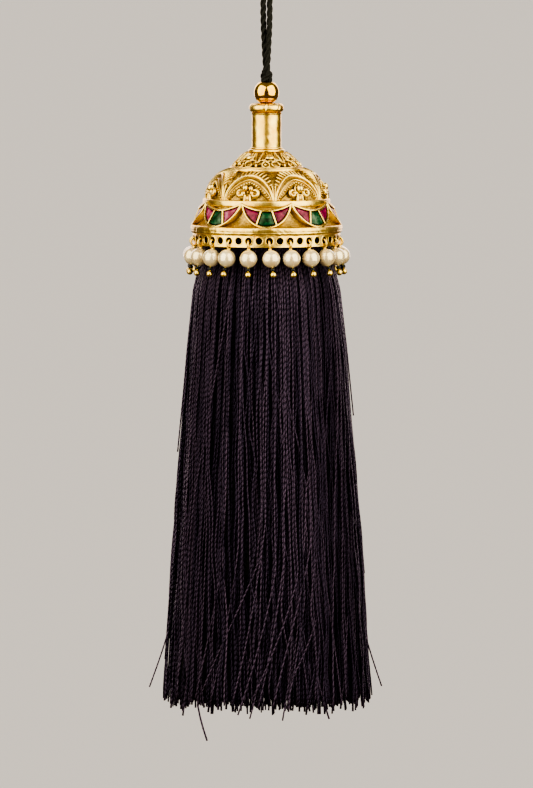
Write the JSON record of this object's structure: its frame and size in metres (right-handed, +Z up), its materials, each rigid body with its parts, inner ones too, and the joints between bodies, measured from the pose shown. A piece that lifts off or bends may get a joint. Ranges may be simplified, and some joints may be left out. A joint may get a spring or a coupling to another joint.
{
  "type": "braid tassel ornament",
  "caption": "Hair ornament hung at the end of a braid: a domed gold bell cap with set stones and pearl drops over a long dark thread tassel, on a doubled cord.",
  "frame": {"origin": "the inside top of the cord's loop, where the ornament hangs", "axes": "+Z up along the cord, -Y is the front, +X to the viewer's right"},
  "size_m": [0.0566, 0.0566, 0.2095],
  "materials": {
    "cast_gold": "cast, matte in the grounds and bright on the ribs",
    "polished_gold": "mirror polished",
    "gold_wire": "bright drawn wire",
    "red_stone": "polished, foil backed",
    "green_stone": "polished, foil backed",
    "pearl": "pearl lustre",
    "black_glass": "polished",
    "thread": "twisted silky thread",
    "cord": "twisted cord"
  },
  "bodies": {
    "root": {"bell_cap": "cast_gold", "finial_bead": "polished_gold", "rubies": "red_stone", "emeralds": "green_stone", "seed_beads": "black_glass", "tassel": "thread", "cord_loop": "cord", "cord_knot": "cord", "cord_stem": "cord", "pearl_01": "pearl", "pearl_02": "pearl", "pearl_03": "pearl", "pearl_04": "pearl", "pearl_05": "pearl", "pearl_06": "pearl", "pearl_07": "pearl", "pearl_08": "pearl", "pearl_09": "pearl", "pearl_10": "pearl", "pearl_11": "pearl", "pearl_12": "pearl", "pearl_13": "pearl", "pearl_14": "pearl", "pearl_15": "pearl", "pearl_16": "pearl", "pearl_17": "pearl", "pearl_18": "pearl", "pearl_19": "pearl", "pearl_20": "pearl", "pearl_21": "pearl", "pearl_22": "pearl", "pin_01": "gold_wire", "pin_02": "gold_wire", "pin_03": "gold_wire", "pin_04": "gold_wire", "pin_05": "gold_wire", "pin_06": "gold_wire", "pin_07": "gold_wire", "pin_08": "gold_wire", "pin_09": "gold_wire", "pin_10": "gold_wire", "pin_11": "gold_wire", "pin_12": "gold_wire", "pin_13": "gold_wire", "pin_14": "gold_wire", "pin_15": "gold_wire", "pin_16": "gold_wire", "pin_17": "gold_wire", "pin_18": "gold_wire", "pin_19": "gold_wire", "pin_20": "gold_wire", "pin_21": "gold_wire", "pin_22": "gold_wire"}
  },
  "joints": []
}
